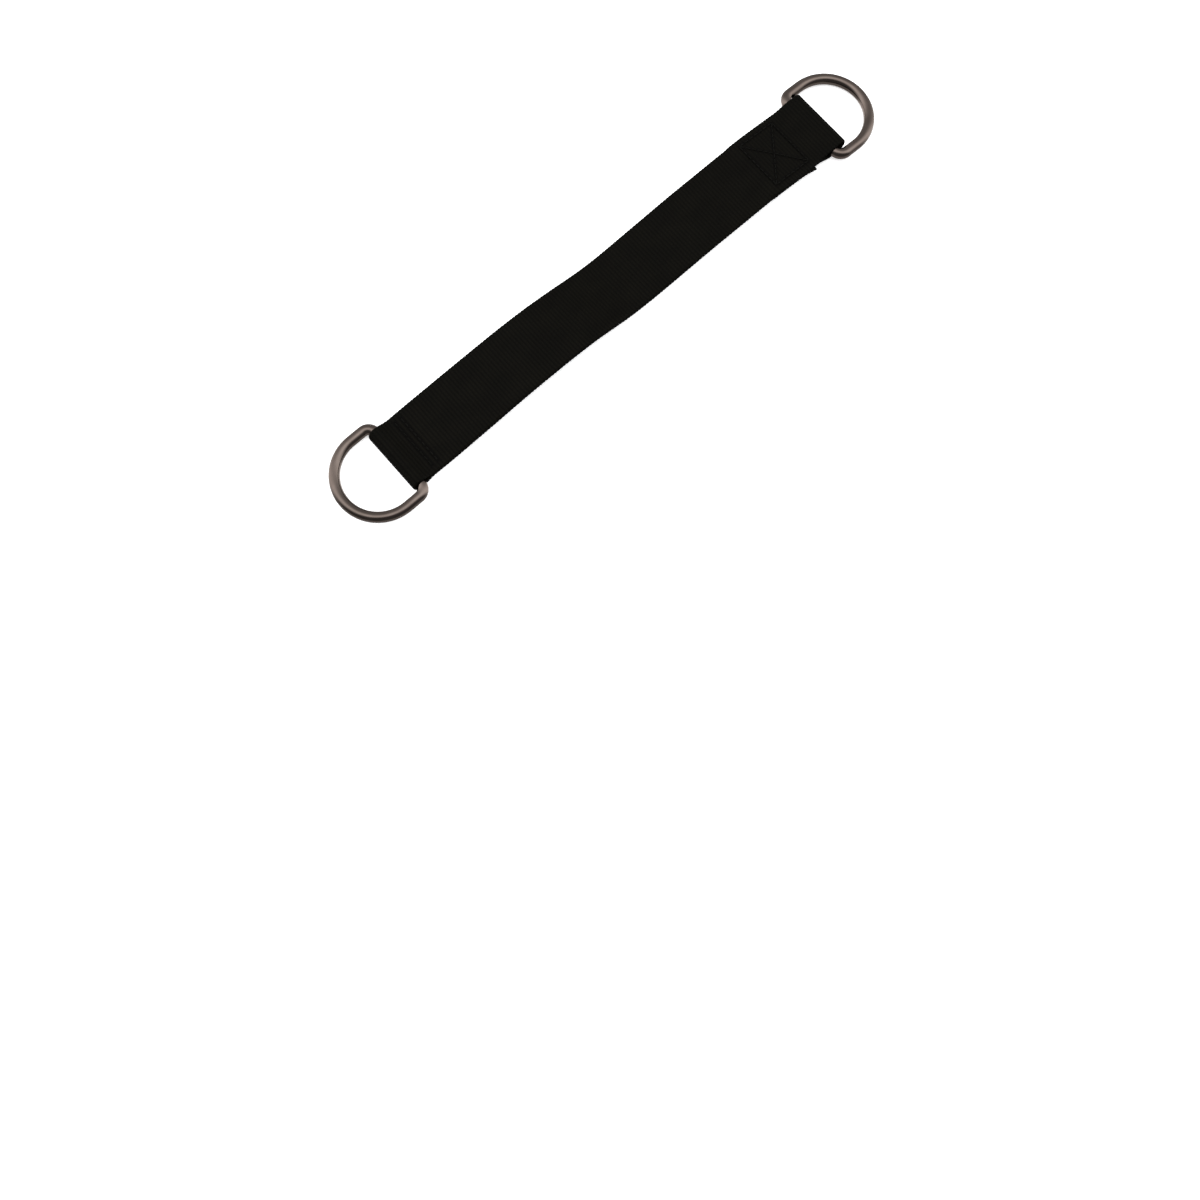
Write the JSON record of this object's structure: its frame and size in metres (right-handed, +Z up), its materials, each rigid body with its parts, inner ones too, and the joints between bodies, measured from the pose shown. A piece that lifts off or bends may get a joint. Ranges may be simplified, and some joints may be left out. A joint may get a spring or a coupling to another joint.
{
  "type": "swing hanging strap",
  "caption": "Doubled flat webbing strap sewn round a metal D-ring at each end, for hanging a swing or joining it to a hook.",
  "frame": {"origin": "on the surface that the strap lies on, under the middle of its whole length and width", "axes": "+X along the belt towards the ring end where the webbing is cut, +Y across the belt, +Z up"},
  "size_m": [0.3722, 0.0526, 0.0115],
  "materials": {
    "webbing": "matt ribbed weave",
    "thread": "satin twisted thread",
    "ring_metal": "polished dark nickel"
  },
  "bodies": {
    "belt_middle": {"upper_ply_middle": "webbing", "lower_ply_middle": "webbing"},
    "belt_left_inner": {"upper_ply_left_inner": "webbing", "lower_ply_left_inner": "webbing"},
    "belt_left_outer": {"upper_ply_left_outer": "webbing", "lower_ply_left_outer": "webbing"},
    "belt_left_end": {"upper_ply_left_end": "webbing", "lower_ply_left_end": "webbing", "webbing_turn_left": "webbing", "seam_left": "thread"},
    "ring_left": {"d_ring_left": "ring_metal"},
    "belt_right_inner": {"upper_ply_right_inner": "webbing", "lower_ply_right_inner": "webbing"},
    "belt_right_outer": {"upper_ply_right_outer": "webbing", "lower_ply_right_outer": "webbing"},
    "belt_right_end": {"upper_ply_right_end": "webbing", "webbing_tail": "webbing", "lower_ply_right_end": "webbing", "webbing_turn_right": "webbing", "seam_right": "thread"},
    "ring_right": {"d_ring_right": "ring_metal"}
  },
  "joints": [
    {"name": "bend_left_3", "type": "hinge", "parent": "belt_middle", "child": "belt_left_inner", "pos_m": [-0.016, 0, 0.00172], "axis": [0, 1, 0], "range_deg": [-40, 19.5], "stiffness_Nm_per_rad": 0.02},
    {"name": "bend_left_2", "type": "hinge", "parent": "belt_left_inner", "child": "belt_left_outer", "pos_m": [-0.061, 0, 0.0098], "axis": [0, 1, 0], "range_deg": [-17, 42.5], "stiffness_Nm_per_rad": 0.02},
    {"name": "bend_left_1", "type": "hinge", "parent": "belt_left_outer", "child": "belt_left_end", "pos_m": [-0.106, 0, 0.0076], "axis": [0, 1, 0], "range_deg": [-28.5, 31], "stiffness_Nm_per_rad": 0.02},
    {"name": "ring_left_swing", "type": "hinge", "parent": "belt_left_end", "child": "ring_left", "pos_m": [-0.14715, 0, 0.00485], "axis": [0, 1, 0], "range_deg": [-166, 164]},
    {"name": "bend_right_3", "type": "hinge", "parent": "belt_middle", "child": "belt_right_inner", "pos_m": [0.022, 0, 0.00172], "axis": [0, -1, 0], "range_deg": [-36.5, 23], "stiffness_Nm_per_rad": 0.02},
    {"name": "bend_right_2", "type": "hinge", "parent": "belt_right_inner", "child": "belt_right_outer", "pos_m": [0.058, 0, 0.006], "axis": [0, -1, 0], "range_deg": [-26, 33.5], "stiffness_Nm_per_rad": 0.02},
    {"name": "bend_right_1", "type": "hinge", "parent": "belt_right_outer", "child": "belt_right_end", "pos_m": [0.094, 0, 0.0079], "axis": [0, -1, 0], "range_deg": [-23.5, 36], "stiffness_Nm_per_rad": 0.02},
    {"name": "ring_right_swing", "type": "hinge", "parent": "belt_right_end", "child": "ring_right", "pos_m": [0.14715, 0, 0.00485], "axis": [0, -1, 0], "range_deg": [-165, 164]}
  ]
}
